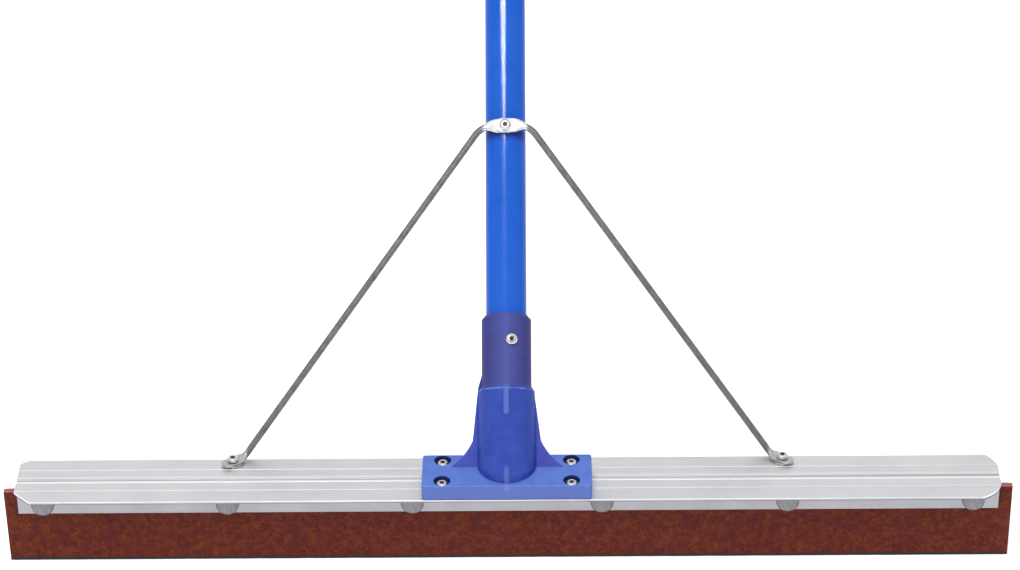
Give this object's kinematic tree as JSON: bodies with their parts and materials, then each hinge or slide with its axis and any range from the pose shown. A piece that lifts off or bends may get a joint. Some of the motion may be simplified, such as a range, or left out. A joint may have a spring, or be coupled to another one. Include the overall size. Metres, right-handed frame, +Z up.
{
  "type": "floor squeegee",
  "caption": "Straight floor squeegee: clipped aluminium head, thick rubber blade, moulded handle socket, long tube handle and two brace rods.",
  "frame": {"origin": "middle of the blade's flat working edge, where it meets the floor", "axes": "+X along the head to the user's left when the user stands behind it, +Y from the blade towards the user, +Z up; the handle rises 47 degrees above the floor towards +Y"},
  "size_m": [0.936, 1.2021, 1.35],
  "materials": {
    "mill_aluminium": "satin, as extruded",
    "red_rubber": "matt, slightly mottled",
    "blue_plastic": "satin, moulded",
    "blue_powder_coat": "glossy",
    "zinc_plated_steel": "bright zinc plate",
    "grey_rod_steel": "dull zinc plate",
    "black_vinyl": "matt, soft"
  },
  "bodies": {
    "body": {"frame_extrusion": "mill_aluminium", "rear_clamp_bar": "mill_aluminium", "blade_bolt_1": "zinc_plated_steel", "blade_bolt_2": "zinc_plated_steel", "blade_bolt_3": "zinc_plated_steel", "blade_bolt_4": "zinc_plated_steel", "blade_bolt_5": "zinc_plated_steel", "blade_bolt_6": "zinc_plated_steel", "blade_washer_1": "zinc_plated_steel", "blade_washer_2": "zinc_plated_steel", "blade_washer_3": "zinc_plated_steel", "blade_washer_4": "zinc_plated_steel", "blade_washer_5": "zinc_plated_steel", "blade_washer_6": "zinc_plated_steel", "blade_nut_1": "zinc_plated_steel", "blade_nut_2": "zinc_plated_steel", "blade_nut_3": "zinc_plated_steel", "blade_nut_4": "zinc_plated_steel", "blade_nut_5": "zinc_plated_steel", "blade_nut_6": "zinc_plated_steel", "handle_socket": "blue_plastic", "base_bolt_1": "zinc_plated_steel", "base_bolt_2": "zinc_plated_steel", "base_bolt_3": "zinc_plated_steel", "base_bolt_4": "zinc_plated_steel", "base_nut_1": "zinc_plated_steel", "base_nut_2": "zinc_plated_steel", "base_nut_3": "zinc_plated_steel", "base_nut_4": "zinc_plated_steel", "handle_tube": "blue_powder_coat", "handle_grip": "black_vinyl", "socket_bolt": "zinc_plated_steel", "socket_washer": "zinc_plated_steel", "socket_nut": "zinc_plated_steel", "brace_top_bolt": "zinc_plated_steel", "brace_top_washer": "zinc_plated_steel", "brace_top_nut": "zinc_plated_steel", "brace_left": "grey_rod_steel", "brace_right": "grey_rod_steel", "brace_foot_washer_1": "zinc_plated_steel", "brace_foot_washer_2": "zinc_plated_steel", "brace_foot_bolt_1": "zinc_plated_steel", "brace_foot_bolt_2": "zinc_plated_steel", "brace_foot_nut_1": "zinc_plated_steel", "brace_foot_nut_2": "zinc_plated_steel"},
    "blade": {"rubber_blade": "red_rubber"}
  },
  "joints": [
    {"name": "blade_flex", "type": "hinge", "parent": "body", "child": "blade", "pos_m": [0, 0, 0.0564], "axis": [1, 0, 0], "range_deg": [-30, 30], "stiffness_Nm_per_rad": 4.4, "deforming": ["rubber_blade"]}
  ]
}
